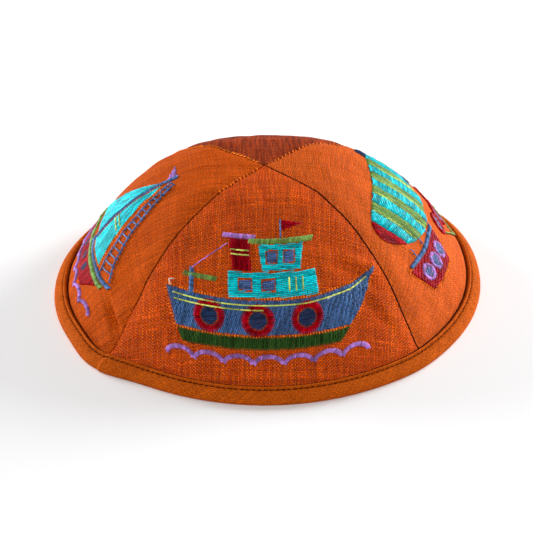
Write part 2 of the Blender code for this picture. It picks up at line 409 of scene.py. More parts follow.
TAPE_CLOTH = Cloth(
    turn=45, pitch=0.00050, stray=0.0002,
    warp_dark=(0.46, 0.074, 0.003), warp_light=(0.88, 0.160, 0.006),
    weft_dark=(0.36, 0.055, 0.003), weft_light=(0.74, 0.128, 0.006),
    pit=0.40, specks=0.42, streaks=0.10, patches=0.12, slubs=0.0, relief=0.8, ribs=0.0,
    flecks=0.15, fleck_colour=(0.62, 0.200, 0.040),
)

# Shading of all cloth and thread. Scales are in features a metre, a range is the stretch of a noise that
# counts, and a relief is in metres.
CLOTH_ROUGHNESS = 0.72
CLOTH_GLOSS = 0.025
CLOTH_RELIEF = 0.00012
WEAVE_EDGE = 0.35
# Painted shade and light of the weave: each cloth darkens its colour in the weave's low places by its own
# share, and this lightens the tops of its threads
THREAD_TOP_LIGHT = 1.08
STRAY_ALONG = 90.0
STRAY_ACROSS = 1100.0
SLUB_ALONG = 130.0
SLUB_APART = 7.31
SLUB_RANGE = (0.66, 0.76)
SLUB_RELIEF = 2.0
PATCH_SCALE = 60.0
GRAIN_SCALE = 2000.0
GRAIN_RANGE = (0.34, 0.66)
STREAK_ACROSS = 900.0
STREAK_ALONG = 70.0
STREAK_RANGE = (0.30, 0.70)
NAP_SCALE = 1450.0
NAP_RANGE = (0.50, 0.68)
RIB_PITCH = 0.00068
GLOSS_WHITE = 0.25
TWIST_SCALE = 1500.0
TWIST_SHADE = 0.50
FADING_SCALE = 160.0
FADING_SHADE = 0.14
STITCH_TONES = (0.50, 1.46)
FIBRE_SCALE = 9000.0
FIBRE_STRENGTH = 0.4
FIBRE_RELIEF = 0.00004

# Studio
FLOOR_SIZE = 3.0
FLOOR_COLOUR = (0.96, 0.96, 0.96, 1.0)
FLOOR_ROUGHNESS = 0.9
FLOOR_GLOSS = 0.1
WORLD_STRENGTH = 0.20
LAMPS = table(
    "name place size power",
    ("left_softbox", (-0.85, 0.43, 0.21), 0.7, 13.4),
    ("right_softbox", (0.83, 0.50, 0.26), 0.7, 18.0),
    ("front_softbox", (0.0, -0.66, 0.70), 0.5, 3.7),
)

# The camera stands where the photograph's did
CAMERA_TARGET = Vector((-0.00088, 0.00179, 0.0056))
CAMERA_ELEVATION = 32.1
CAMERA_DISTANCE = 0.650
CAMERA_LENS = 108.8
SENSOR_WIDTH = 36.0
NEAREST_SEEN = 0.01
FARTHEST_SEEN = 10.0

# What follows from the sizes
FOLD_RADIUS = PANEL_WALL / 2 + SEWING_GAP + TAPE_WALL
FOLD_HEIGHT = FOLD_RADIUS - FOLD_FLATTENING
CROWN_RISE = CROWN_HEIGHT - PANEL_WALL / 2 - FOLD_HEIGHT
CHANNEL_OUT = PANEL_WALL / 2 + SEWING_GAP / 5
TAPE_STITCH_LINE = GROOVE_LENGTH * TAPE_LEG
TAPE_STITCH_OUT = GROOVE_OUT * FOLD_RADIUS + TAPE_THREAD_LIFT * TAPE_THREAD_RADIUS

# Random draws are made in the order of the thread work
RANDOM = np.random.default_rng(SEED)


# The form of the cloth
def eased(value):
    """A smooth step from 0 to 1 as value goes from 0 to 1."""
    value = np.clip(value, 0.0, 1.0)
    return value * value * (3 - 2 * value)


def cubic(y0, y1, slope0, slope1, width, t):
    """A cubic from y0 to y1, t of the way along a stretch of that width."""
    rise = t * t * (3 - 2 * t)
    return y0 + (y1 - y0) * rise + width * t * (1 - t) * (slope0 * (1 - t) - slope1 * t)


def column(rows, name):
    return np.array([getattr(row, name) for row in rows])


def profile(name, share):
    """A column of the profile, share of the way out from the apex to the rim's fold."""
    radii, values = column(PROFILE, "radius"), column(PROFILE, name)
    steep = np.diff(values) / np.diff(radii)
    inner = [2 * a * b / (a + b) if a * b > 0 else 0.0 for a, b in zip(steep, steep[1:])]
    slopes = np.array([0.0, *inner, steep[-1]])
    i = np.clip(np.searchsorted(radii, share) - 1, 0, len(PROFILE) - 2)
    width = radii[i + 1] - radii[i]
    t = (share - radii[i]) / width
    return cubic(values[i], values[i + 1], slopes[i], slopes[i + 1], width, t)


def turn_between(azimuth, other):
    """The turn from other to azimuth, from -180 to 180 degrees."""
    return (azimuth - other + 180) % 360 - 180


def plan_reach(name, azimuth):
    """How far that column of the plan reaches out there, as a share of the rim's radius."""
    values = column(PLAN, name)
    place = (azimuth - PLAN[0].azimuth) * len(PLAN) / 360
    i = np.floor(place).astype(int)
    before, start, end, after = (values[(i + k) % len(PLAN)] for k in (-1, 0, 1, 2))
    return cubic(start, end, (end - before) / 2, (after - start) / 2, 1.0, place - i)


def rim_reach(azimuth):
    """How far the rim reaches out there, blunt corners and all, as a share of its radius."""
    return plan_reach("rim", azimuth) + sum(
        corner.reach * np.exp(-((turn_between(azimuth, corner.azimuth) / corner.half_width) ** 2))
        for corner in TAPE_CORNERS
    )


def rim_middle():
    """The middle of the rim's box in plan, seen from where the seams' planes cross."""
    azimuth = np.arange(0, 360, PLAN_STEP)
    radius = RIM_RADIUS * rim_reach(azimuth)
    x, y = radius * np.sin(np.radians(azimuth)), -radius * np.cos(np.radians(azimuth))
    return (x.min() + x.max()) / 2, (y.min() + y.max()) / 2


MIDDLE_X, MIDDLE_Y = rim_middle()


def from_panel_middle(azimuth):
    """The angle from the middle of the panel there, which is greatest at its seams."""
    return np.abs((azimuth + HALF_ANGLE) % (2 * HALF_ANGLE) - HALF_ANGLE)


def plain_meridian(azimuth, share):
    """Radius and height of the middle of the wall, before seams, dents and the pulled-in edge."""
    flatness = profile("flatness", share)
    chord = math.cos(math.radians(HALF_ANGLE)) / np.cos(np.radians(from_panel_middle(azimuth)))
    dome = 1 + (plan_reach("dome", azimuth) - 1) * share
    rim = 1 + (rim_reach(azimuth) - 1) * share
    plan = dome + (rim - dome) * share**RIM_FADE
    reach = RIM_RADIUS * plan - FOLD_RADIUS + PULLED_IN
    radius = share * reach * (1 - flatness + flatness * chord)
    return radius, FOLD_HEIGHT + CROWN_RISE * profile("height", share)


def outward(azimuth, share):
    """The wall's outward direction in the upright plane there, as radius and height."""
    r0, z0 = plain_meridian(azimuth, np.maximum(0.0, share - MERIDIAN_STEP))
    r1, z1 = plain_meridian(azimuth, np.minimum(1.0, share + MERIDIAN_STEP))
    length = np.hypot(r1 - r0, z1 - z0)
    return (z0 - z1) / length, (r1 - r0) / length


def length_from_fold(azimuth, share):
    """The wall's length from there down to the rim's fold, near enough for a short run."""
    radius, height = plain_meridian(azimuth, share)
    fold_radius, fold_height = plain_meridian(azimuth, np.ones_like(share))
    return np.hypot(fold_radius - radius, height - fold_height)


def share_at_length(azimuth, length):
    """The share of the way out that is that far above the rim's fold, found by halving."""
    low, high = np.full_like(azimuth, 0.5), np.ones_like(azimuth)
    for _ in range(HALVINGS):
        middle = (low + high) / 2
        above = length_from_fold(azimuth, middle) > length
        low, high = np.where(above, middle, low), np.where(above, high, middle)
    return (low + high) / 2


def freed(azimuth, share):
    """0 under the tape, and 1 from the top of the pulled-in run upwards."""
    return eased((length_from_fold(azimuth, share) - TAPE_LEG) / PULLED_RUN)


def to_seam(azimuth, share):
    """How far it is along the cloth from there to the nearest seam."""
    radius, _ = plain_meridian(azimuth, share)
    return radius * np.radians(HALF_ANGLE - from_panel_middle(azimuth))


def sunk(azimuth, share):
    """How far seams, dents and ripples take the wall in. The tape smooths them away."""
    radius, _ = plain_meridian(azimuth, share)
    depth = SEAM_DIP * eased(radius / (3 * SEAM_ROLL))
    depth = depth * np.exp(-((to_seam(azimuth, share) / SEAM_ROLL) ** 2))
    for dent in DENTS:
        across = radius * np.radians(turn_between(azimuth, dent.azimuth)) / (dent.wide * RIM_RADIUS)
        along = (share - dent.radius) / dent.tall
        depth = depth + DENT_DEPTH * dent.depth * np.exp(-(across**2) - along**2)
    x, y = radius * np.sin(np.radians(azimuth)), radius * np.cos(np.radians(azimuth))
    for ripple in RIPPLES:
        turn = math.radians(ripple.turn)
        wave = 2 * math.pi * (x * math.cos(turn) + y * math.sin(turn)) / ripple.length
        depth = depth + ripple.depth * np.sin(wave + ripple.phase)
    for crease in CREASES:
        there, turn = math.radians(crease.azimuth), math.radians(crease.turn)
        dx = x - crease.radius * RIM_RADIUS * math.sin(there)
        dy = crease.radius * RIM_RADIUS * math.cos(there) - y
        along = (dx * math.cos(turn) + dy * math.sin(turn)) / crease.length
        beside = (dy * math.cos(turn) - dx * math.sin(turn)) / crease.width
        depth = depth + crease.depth * np.exp(-(along**2) - beside**2)
    return depth * freed(azimuth, share)


def wall_points(azimuth, share, out=0.0):
    """Points that lie out metres outside the middle of the panels' wall, one a row."""
    radius, height = plain_meridian(azimuth, share)
    out_radius, out_height = outward(azimuth, share)
    out = out - sunk(azimuth, share)
    turned = np.radians(azimuth + SEAM_TURN * (1 - share))
    radius = radius + out * out_radius - PULLED_IN * (1 - freed(azimuth, share))
    lean = 1 - share * share
    return np.stack([
        radius * np.sin(turned) + CROWN_LEAN_X * lean - MIDDLE_X,
        -radius * np.cos(turned) + CROWN_LEAN_Y * lean - MIDDLE_Y,
        height + out * out_height,
    ], axis=-1)


def lengths_up(middle):
    """Shares from rim to apex at the middle of a panel, and the cloth's length up to each."""
    share = np.linspace(1.0, 0.0, MERIDIAN_POINTS)
    radius, height = plain_meridian(np.full_like(share, middle), share)
    return share, np.concatenate([[0.0], np.cumsum(np.hypot(np.diff(radius), np.diff(height)))])


def cloth_place(middle, across, up):
    """The azimuth and share of a place on the cloth of the panel whose middle is there."""
    share, lengths = lengths_up(middle)
    found = np.interp(up, lengths, share)
    radius, _ = plain_meridian(np.full_like(found, middle), found)
    return middle + np.degrees(across / radius), found


# Meshes
def grid_spot(vertex, columns, rows):
    """The row and column of a vertex of a grid that isn't placed yet."""
    return round((vertex.co.y + 0.5) * rows), round((vertex.co.x + 0.5) * columns)


def flat_grid(flat):
    """An open grid, not placed yet, whose UVs are in metres of cloth: flat[row, column]."""
    rows, columns = flat.shape[0] - 1, flat.shape[1] - 1
    bm = bmesh.new()
    uv = bm.loops.layers.uv.new("cloth")
    bmesh.ops.create_grid(bm, x_segments=columns, y_segments=rows, size=0.5)
    for face in bm.faces:
        for loop in face.loops:
            loop[uv].uv = flat[grid_spot(loop.vert, columns, rows)]
    return bm


def place_grid(vertices, places):
    """Moves a grid's vertices to places[row, column]."""
    rows, columns = places.shape[0] - 1, places.shape[1] - 1
    for vertex in vertices:
        vertex.co = places[grid_spot(vertex, columns, rows)]


def placed(name, data):
    """A new object in the scene."""
    made = bpy.data.objects.new(name, data)
    bpy.context.scene.collection.objects.link(made)
    return made


def finished(name, mesh, slot, *nodes):
    """A smooth piece on the root body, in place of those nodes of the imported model."""
    mesh.shade_smooth()
    mesh.name = name
    piece = placed(name, mesh)
    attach(piece, "root")
    if nodes:
        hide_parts(*nodes)
    return piece


def closed_mesh(bm, material):
    """The mesh of a closed shell, faces outward, in one material."""
    bmesh.ops.recalc_face_normals(bm, faces=bm.faces)
    if bm.calc_volume(signed=True) < 0:
        bmesh.ops.reverse_faces(bm, faces=bm.faces)
    mesh = bpy.data.meshes.new("closed")
    bm.to_mesh(mesh)
    bm.free()
    mesh.materials.append(material)
    return mesh


# Silk
def silk_relief(azimuth, share, up):
    """How far the silk's outer skin lies below the plain wall beside its seams."""
    beside = to_seam(azimuth, share)
    turn_down = np.clip(1 - beside / DITCH_RADIUS, 0.0, 1.0)
    ditch = DITCH_DEPTH * (1 - np.sqrt(1 - turn_down**2))
    pucker = SEAM_PUCKER * np.sin(2 * math.pi * up / SEAM_STITCH)
    return ditch + pucker * np.exp(-((beside / SEAM_PUCKER_RUN) ** 2)) * freed(azimuth, share)


def silk_panel(index, side, material):
    """One panel, with its outer silk and its inner side closed at the edges into one shell."""
    middle = 2 * HALF_ANGLE * index
    along = np.arange(SILK_COLUMNS + 1) / SILK_COLUMNS
    crowded = along - SEAM_CROWDING * np.sin(2 * math.pi * along) / (2 * math.pi)
    azimuth = middle + HALF_ANGLE * (2 * crowded - 1)
    tip, hem = TIP_RADIUS / RIM_RADIUS, share_at_length(azimuth, HEM_SETBACK)
    share = tip + (hem - tip) * np.arange(SILK_ROWS + 1)[:, None] / SILK_ROWS
    radius, _ = plain_meridian(np.full_like(share, middle + HALF_ANGLE), share)
    kept = 1 - np.degrees(SILK_GAP / 2 / radius) / HALF_ANGLE
    azimuth = middle + (azimuth - middle) * kept
    table_share, table_length = lengths_up(middle)
    up = np.interp(-share, -table_share, table_length)
    from_apex = table_length[-1] - up
    spread = np.radians(azimuth - middle) * radius / from_apex
    flat = np.stack([from_apex * np.sin(spread), from_apex * np.cos(spread)], axis=-1)
    outside = wall_points(azimuth, share, PANEL_WALL / 2 - silk_relief(azimuth, share, up))
    allowance = (to_seam(azimuth, share) - ALLOWANCE_PLACE) / ALLOWANCE_WIDTH
    inner = PANEL_WALL / 2 + ALLOWANCE_RISE * np.exp(-(allowance**4)) * freed(azimuth, share)
    inside = wall_points(azimuth, share, -inner)

    bm = flat_grid(flat)
    made = bmesh.ops.extrude_face_region(bm, geom=bm.faces[:], use_keep_orig=True)["geom"]
    lower = {item for item in made if isinstance(item, bmesh.types.BMVert)}
    upper = [vertex for vertex in bm.verts if vertex not in lower]
    place_grid(upper, outside)
    place_grid(lower, inside)
    piece = finished(f"{side}_silk", closed_mesh(bm, material), f"silk_{side}", f"panel_{side}")


# Tape
def round_the_rim(azimuth):
    """The length round the rim's fold up to each azimuth."""
    fold = wall_points(azimuth, np.ones_like(azimuth))
    return np.concatenate([[0.0], np.cumsum(np.linalg.norm(np.diff(fold, axis=0), axis=1))])


def lapped(azimuth):
    """How much thicker the tape is where its end laps over its start."""
    turn = turn_between(azimuth, 0.0)
    fade = eased((LAP_FADED - turn) / (LAP_FADED - LAP_EDGE))
    return LAP_RISE * fade * eased((turn - LAP_EDGE) / LAP_STEP)


def tape_leg(azimuth, around, skin, side):
    """Rows of the tape's skin on the outside (side 1) or the inside (side -1) of the silk."""
    stitches = round(around[-1] / TAPE_STITCH)
    between = np.cos(2 * math.pi * stitches * around / around[-1])
    drags = round(around[-1] / TAPE_DRAG_LENGTH)
    rows = []
    for point in skin:
        length = TAPE_LEG * point.length
        near_line = np.exp(-(((length - TAPE_STITCH_LINE) / TAPE_PIT_RUN) ** 2))
        drag = np.sin(2 * math.pi * (drags * around / around[-1] + length / TAPE_DRAG_LENGTH))
        out = point.out * FOLD_RADIUS + TAPE_PIT * near_line * between + TAPE_DRAG * drag
        out = out + lapped(azimuth) * (side > 0)
        rows.append(wall_points(azimuth, share_at_length(azimuth, length), side * out))
    return rows


def tape_fold(azimuth):
    """Rows of the fold from the outside to the inside."""
    whole = np.ones_like(azimuth)
    centre = wall_points(azimuth, whole)
    out_radius, out_height = outward(azimuth, whole)
    start = np.arctan2(out_height, out_radius)
    turn = np.radians(azimuth)
    level = np.stack([np.sin(turn), -np.cos(turn), np.zeros_like(turn)], axis=-1)
    rows = []
    for i in range(FOLD_STEPS + 1):
        angle = start - math.pi * i / FOLD_STEPS
        reach = (FOLD_RADIUS + lapped(azimuth) * (1 - (i / FOLD_STEPS) ** 2)) * np.cos(angle)
        row = centre + reach[:, None] * level
        row[:, 2] += FOLD_RADIUS * np.sin(angle)
        rows.append(row)
    return rows


def tape_channel(azimuth):
    """Rows of the tape's own side that lies on the silk, from inside the cap to outside it."""
    shares = [share_at_length(azimuth, TAPE_LEG * length) for length in CHANNEL_LENGTHS]
    inside = [wall_points(azimuth, share, -CHANNEL_OUT) for share in shares]
    outside = [wall_points(azimuth, share, CHANNEL_OUT) for share in shares]
    return inside + outside[::-1]


def rim_tape(material):
    """The folded tape as one closed ring of a closed section, flattened by what it rests on."""
    azimuth = np.linspace(0.0, 360.0, TAPE_COLUMNS + 1)
    around = round_the_rim(azimuth)
    rows = tape_leg(azimuth, around, TAPE_FACE, 1) + tape_fold(azimuth)
    rows += tape_leg(azimuth, around, TAPE_BACK, -1) + tape_channel(azimuth)
    places = np.stack(rows + rows[:1])
    places[..., 2] = np.maximum(0.0, places[..., 2])
    steps = np.linalg.norm(np.diff(places[:, 0], axis=0), axis=1)
    section = np.concatenate([[0.0], np.cumsum(steps)])
    flat = np.stack(np.meshgrid(around, section), axis=-1)
    bm = flat_grid(flat)
    place_grid(bm.verts, places)
    bmesh.ops.remove_doubles(bm, verts=bm.verts, dist=WELD)
    piece = finished("rim_tape", closed_mesh(bm, material), "binding_tape", "rim_binding")


# Thread work
def thread_mesh(points, radii, names, taper=THREAD_TAPER):
    """Round threads as one mesh: points[thread, knot] in metres, with a radius and a thread's name each."""
    curve = bpy.data.curves.new("threads", "CURVE")
    curve.dimensions = "3D"
    curve.bevel_depth = 1.0
    curve.bevel_resolution = 1
    curve.use_fill_caps = True
    for name in THREAD_NAMES:
        curve.materials.append(MATERIALS[name])
    knots = points.shape[1]
    for line, radius, name in zip(points, radii, names):
        spline = curve.splines.new("POLY")
        spline.points.add(knots - 1)
        spline.points.foreach_set("co", np.column_stack([line, np.ones(knots)]).ravel())
        spline.points.foreach_set("radius", radius * taper)
        spline.material_index = THREAD_NAMES.index(name)
    maker = placed("threads", curve)
    made = bpy.data.meshes.new_from_object(maker.evaluated_get(bpy.context.evaluated_depsgraph_get()))
    bpy.data.objects.remove(maker)
    bpy.data.curves.remove(curve)
    tone = np.repeat(RANDOM.uniform(0.0, 1.0, len(points)), len(made.vertices) // len(points))
    made.attributes.new("tone", "FLOAT", "POINT").data.foreach_set("value", tone)
    bm = bmesh.new()
    bm.from_mesh(made)
    bmesh.ops.remove_doubles(bm, verts=bm.verts, dist=WELD)
    bm.to_mesh(made)
    bm.free()
    return made


def line_points(line, pitch):
    """Points at about that pitch along a line, and the direction of the line at each."""
    line = np.asarray(line, float)
    lengths = np.concatenate([[0.0], np.cumsum(np.linalg.norm(np.diff(line, axis=0), axis=1))])
    places = np.linspace(0.0, lengths[-1], max(2, round(lengths[-1] / pitch) + 1))
    points = np.stack([np.interp(places, lengths, line[:, k]) for k in (0, 1)], axis=-1)
    direction = np.gradient(points, axis=0)
    return points, direction / np.linalg.norm(direction, axis=1)[:, None]


def arc(centre, radius, start, end, tall=1.0):
    """Points of an arc, counter-clockwise from start to end in degrees. tall stretches it upwards."""
    count = max(ARC_POINTS, round(abs(end - start) / ARC_STEP) + 1)
    turn = np.radians(np.linspace(start, end, count))
    return np.array(centre) + radius * np.stack([np.cos(turn), tall * np.sin(turn)], axis=-1)


def disc(centre, radius):
    """The outline of a disc, closed by its last edge."""
    return arc(centre, radius, 0, 360 - ARC_STEP)


def box(left, low, right, high):
    return np.array([(left, low), (right, low), (right, high), (left, high)], float)


class Needlework:
    """Stitches on one panel's cloth. Charts are in millimetres: across the panel, and up from its rim."""

    def __init__(self, index):
        self.middle = 2 * HALF_ANGLE * index
        self.ends, self.lifts, self.radii, self.names = [], [], [], []

    def stitch(self, name, start, end, lift, radius):
        self.ends.append((start, end))
        self.lifts.append(lift)
        self.radii.append(radius)
        self.names.append(name)

    def rows(self, outlines, turn, pitch, inset=0.0):
        """Rows of that pitch in the direction of turn: (number, level, start, end), and the turn back."""
        cos, sin = math.cos(math.radians(turn)), math.sin(math.radians(turn))
        spin = np.array([(cos, sin), (-sin, cos)])
        turned = [MM * np.asarray(outline, float) @ spin.T for outline in outlines]
        low = min(outline[:, 1].min() for outline in turned) + inset
        high = max(outline[:, 1].max() for outline in turned) - inset
        found = []
        for row, level in enumerate(np.arange(low + pitch / 2, high, pitch)):
            crossings = sorted(
                x0 + (x1 - x0) * (level - y0) / (y1 - y0)
                for outline in turned
                for (x0, y0), (x1, y1) in zip(outline, np.roll(outline, -1, axis=0))
                if (y0 <= level) != (y1 <= level)
            )
            found += [(row, level, a + inset, b - inset) for a, b in zip(crossings[::2], crossings[1::2])]
        return found, spin

    def cut_row(self, start, end, shift, length, overlap, stray):
        """Where the stitches of a row start and end."""
        first = math.ceil((start + SHORTEST_STITCH - shift) / length)
        last = math.floor((end - SHORTEST_STITCH - shift) / length)
        cuts = [shift + k * length + RANDOM.uniform(-stray, stray) for k in range(first, last + 1)]
        return zip([start, *(cut - overlap for cut in cuts)], [*(cut + overlap for cut in cuts), end])

    def fill(self, thread, *outlines, turn=0.0, lift=FILL_LIFT, length=STITCH_LENGTH, wave=0.0):
        """Rows of staggered stitches over an underlay. An outline inside another is a hole."""
        name, below = f"{thread}_thread", f"{thread}_underlay"
        found, spin = self.rows(outlines, turn + 90, UNDERLAY_PITCH, UNDERLAY_INSET)
        for _, level, start, end in found:
            if end - start > SHORTEST_STITCH:
                for a, b in self.cut_row(start, end, 0.0, UNDERLAY_LENGTH, FILL_OVERLAP, 0.0):
                    rise = lift - FILL_LIFT + UNDERLAY_LIFT
                    self.stitch(below, (a, level) @ spin, (b, level) @ spin, rise, UNDERLAY_RADIUS)
        found, spin = self.rows(outlines, turn, ROW_PITCH)
        for row, level, start, end in found:
            start, end = start - RANDOM.uniform(0, EDGE_STRAY), end + RANDOM.uniform(0, EDGE_STRAY)
            shift = (row * STAGGER % 1.0) * length + wave * math.sin(row * WAVE_TURN)
            for a, b in self.cut_row(start, end, shift, length, FILL_OVERLAP, CUT_STRAY):
                rise = lift * RANDOM.uniform(*FILL_RISES)
                radius = THREAD_RADIUS * RANDOM.uniform(*FILL_RADII)
                self.stitch(name, (a, level) @ spin, (b, level) @ spin, rise, radius)

    def satin(self, thread, line, width, end_width=None, lift=SATIN_LIFT):
        """Close stitches from side to side of a line, which may taper from width to end_width."""
        points, direction = line_points(MM * np.asarray(line, float), SATIN_PITCH)
        across = np.stack([-direction[:, 1], direction[:, 0]], axis=-1)
        half = MM / 2 * np.linspace(width, width if end_width is None else end_width, len(points))
        half = half * RANDOM.uniform(*SATIN_WIDTHS, len(points))
        lean = SATIN_PITCH / 2 * direction
        for point, side, reach, slant in zip(points, across, half, lean):
            a, b = point - reach * side - slant, point + reach * side + slant
            radius = SATIN_RADIUS * RANDOM.uniform(*SATIN_RADII)
            self.stitch(f"{thread}_thread", a, b, lift * RANDOM.uniform(*SATIN_RISES), radius)

    def run(self, thread, line, lift=RUN_LIFT, radius=RUN_RADIUS, length=RUN_STITCH):
        """A line of stitches end to end in a thick thread."""
        points, _ = line_points(MM * np.asarray(line, float), length)
        for a, b in zip(points, points[1:]):
            overlap = RUN_OVERLAP * (b - a)
            self.stitch(f"{thread}_thread", a - overlap, b + overlap, lift, radius)

    def ticks(self, outline):
        """Short stitches of the ground's own colour that show all round an outline."""
        outline = np.asarray(outline, float)
        x, y = outline.T
        if np.sum(x * np.roll(y, -1) - y * np.roll(x, -1)) < 0:
            outline = outline[::-1]
        points, direction = line_points(MM * np.vstack([outline, outline[:1]]), TICK_PITCH)
        outside = np.stack([direction[:, 1], -direction[:, 0]], axis=-1)
        for point, side in zip(points, outside):
            a = point + TICK_GAP * side
            b = point + (TICK_GAP + TICK_LENGTH * RANDOM.uniform(*TICK_LENGTHS)) * side
            self.stitch("ground_thread", a, b, TICK_LIFT, TICK_RADIUS)

    def finish(self, name, slot):
        """Drapes the stitches over the silk and makes them one piece."""
        ends, lifts = np.array(self.ends), np.array(self.lifts)
        knots = KNOT_PLACES[None, :, None]
        places = ends[:, None, 0] * (1 - knots) + ends[:, None, 1] * knots
        rise = lifts[:, None] * KNOT_LIFTS - STITCH_DIP * (1 - np.clip(KNOT_LIFTS, 0, 1))
        azimuth, share = cloth_place(self.middle, places[..., 0].ravel(), places[..., 1].ravel())
        points = wall_points(azimuth, share, PANEL_WALL / 2 + rise.ravel()).reshape(*places.shape[:2], 3)
        finished(name, thread_mesh(points, self.radii, self.names), slot)


def tugboat():
    """A tugboat with a deckhouse, three rope rings on its side and small waves under it."""
    work = Needlework(0)
    hull = np.array([(-39, 37), (-35, 24), (31, 24), (37, 31), (42, 42), (32, 38.5), (16, 36.5), (-20, 36.5)])
    keel = np.array([(-34.5, 23.2), (-32, 18.6), (27, 18.6), (30.5, 23.2)])
    house = np.array([(-15, 37.4), (-15, 47), (17, 47), (18.5, 37.4)])
    bridge = np.array([(-2.5, 47.6), (-4, 58), (12.5, 58), (11.5, 47.6)])
    funnel = np.array([(-13.5, 47.6), (-15, 60), (-7, 60), (-6.5, 47.6)])
    rings = [(-22, 29.6), (-4, 29.2), (14, 29.6)]
    ring_holes = [disc(ring, 5.2) for ring in rings]
    windows = [box(-1.4, 50.3, 3.2, 55.6), box(5.0, 50.3, 9.6, 55.6)]
    work.ticks(hull)
    work.fill("steel_blue", hull, *ring_holes, turn=72, length=0.0046, wave=0.0006)
    work.fill("dark_green", keel, turn=90, length=0.0060, lift=SATIN_LIFT)
    panes = [box(-11.5, 39.8, -6.0, 44.6), box(-3.0, 39.8, 2.5, 44.6)]
    work.fill("turquoise", house, *panes, turn=4, wave=0.0009, length=0.0034)
    work.fill("turquoise", bridge, *windows, turn=-8, wave=0.0009, length=0.0034)
    for window in windows + panes:
        inner = window + np.array([(0.5, 0.5), (-0.5, 0.5), (-0.5, -0.5), (0.5, -0.5)])
        work.fill("steel_blue", inner, turn=6, length=0.0028, lift=PANE_LIFT)
    work.fill("dark_red", funnel, turn=88, length=0.0042)
    work.satin("olive", [(-7.2, 59.3), (16.0, 59.3)], 2.2)
    work.satin("mauve", [(-16.8, 61.0), (-5.4, 61.0)], 2.0)
    for left, y, right in ((-14.0, 53.4, -7.3), (-14.2, 55.2, -7.4)):
        work.run("lime", [(left, y), (right, y)])
    for ring in rings:
        work.fill("navy", disc(ring, 3.3), turn=10, length=0.0026, lift=RING_FLOOR_LIFT)
        work.satin("dark_red", arc(ring, 4.9, 0, 360), 2.5)
    work.run("lime", [(-36.2, 35.0), (-20, 34.6), (14, 34.6), (31, 36.4), (38.6, 39.2)])
    work.run("lime", [(-35.6, 33.0), (-20, 32.9), (-2, 32.9)])
    for x in (7.4, 9.9, 12.4):
        work.run("lime", [(x, 39.6), (x - 0.3, 44.8)])
    work.run("steel_blue", [(4.2, 60.6), (4.2, 68.5)], radius=POLE_RUN)
    work.fill("dark_red", [(4.8, 68.4), (12.5, 65.8), (4.8, 63.6)], turn=0, length=0.0036)
    work.satin("steel_blue", [(-29, 36.8), (-29, 45.5)], 1.7)
    work.satin("olive", [(-31.8, 43.2), (-19.5, 43.2)], 1.8)
    work.run("mauve", [(-29, 45.5), (-15.2, 57.5)], radius=FINE_RUN, length=0.004)
    work.run("ivory", arc((-36.6, 38.6), 1.3, 60, 250), radius=LOOSE_RUN, lift=LOOSE_LIFT)
    work.run("ivory", arc((22.6, 35.2), 1.0, 200, 380), radius=FINE_RUN, lift=LOOSE_TOP_LIFT)
    for i in range(7):
        middle = (-33.0 + 11 * i, 13.0)
        work.satin("mauve", arc(middle, 5.3, 168, 12, tall=0.62), 1.5)
    work.finish("tugboat_embroidery", "silk_front")


def airship():
    """A striped airship with fins and a car under its nose, and three small balloons on strings."""
    work = Needlework(1)
    centre, half_long, half_tall = (0.0, 47.0), 33.0, 13.6
    edges = np.linspace(-0.80, 1.0, 11)
    turn = np.arccos(edges)
    for k in range(len(edges) - 1):
        side = np.linspace(turn[k + 1], turn[k], 7)
        upper = np.stack([half_long * np.cos(side), half_tall * np.sin(side)], axis=-1)
        outline = np.vstack([upper, upper[::-1] * (1, -1)]) + centre
        if k % 2:
            work.fill("olive", outline, turn=90, length=0.0050)
        else:
            work.fill("turquoise", outline, turn=0, length=0.0090, lift=SATIN_LIFT)
    nose = np.radians(np.linspace(143.1, 216.9, 13))
    outline = np.stack([half_long * np.cos(nose), half_tall * np.sin(nose)], axis=-1) + centre
    work.fill("dark_red", outline, turn=90, length=0.0040)
    for x in (-20.5, -8.6, 3.3, 15.2):
        reach = half_tall * math.sqrt(1 - ((x - centre[0]) / half_long) ** 2) - 0.6
        work.run("lime", [(x, centre[1] - reach), (x, centre[1] + reach)], radius=THIN_RUN)
    work.fill("navy", [(21, 56.5), (30, 52.0), (32.5, 55.0), (27, 59.0)], turn=40, length=0.0040)
    work.fill("navy", [(21, 37.5), (30, 42.5), (38, 36.5), (31, 32.5)], turn=-40, length=0.0040)
    car = np.array([(-38, 30.4), (-33, 18.0), (-9, 18.0), (-2, 30.4)])
    work.ticks(car)
    work.fill("dark_red", car, turn=0, length=0.0034, wave=0.0008)
    work.satin("steel_blue", [(-35.5, 31.6), (-3.5, 31.6)], 1.7)
    for x in (-29.0, -20.0, -11.0, -4.5):
        work.run("steel_blue", [(x, 32.0), (x + 1.0, 36.5)], radius=THIN_RUN)
    for x in (-28.5, -20.0, -11.5):
        work.fill("steel_blue", disc((x, 24.6), 2.6), turn=20, length=0.0030, lift=INLAY_LIFT)
        work.satin("mauve", arc((x, 24.6), 3.2, 0, 360), 1.3)
    for x, y in ((9.0, 24.0), (19.5, 21.5), (30.0, 24.0)):
        work.fill("steel_blue", disc((x, y), 3.2), turn=30, length=0.0024)
        work.satin("dark_red", arc((x, y), 4.1, 0, 360), 1.9)
        work.run("dark_red", [(x - 1.2, y - 1.2), (x + 1.2, y + 1.2)], radius=THIN_RUN, lift=LOW_RUN_LIFT)
        work.run("olive", [(x, y - 5.3), (19.5, 9.0)], radius=STRING_RUN)
    work.finish("airship_embroidery", "silk_right")


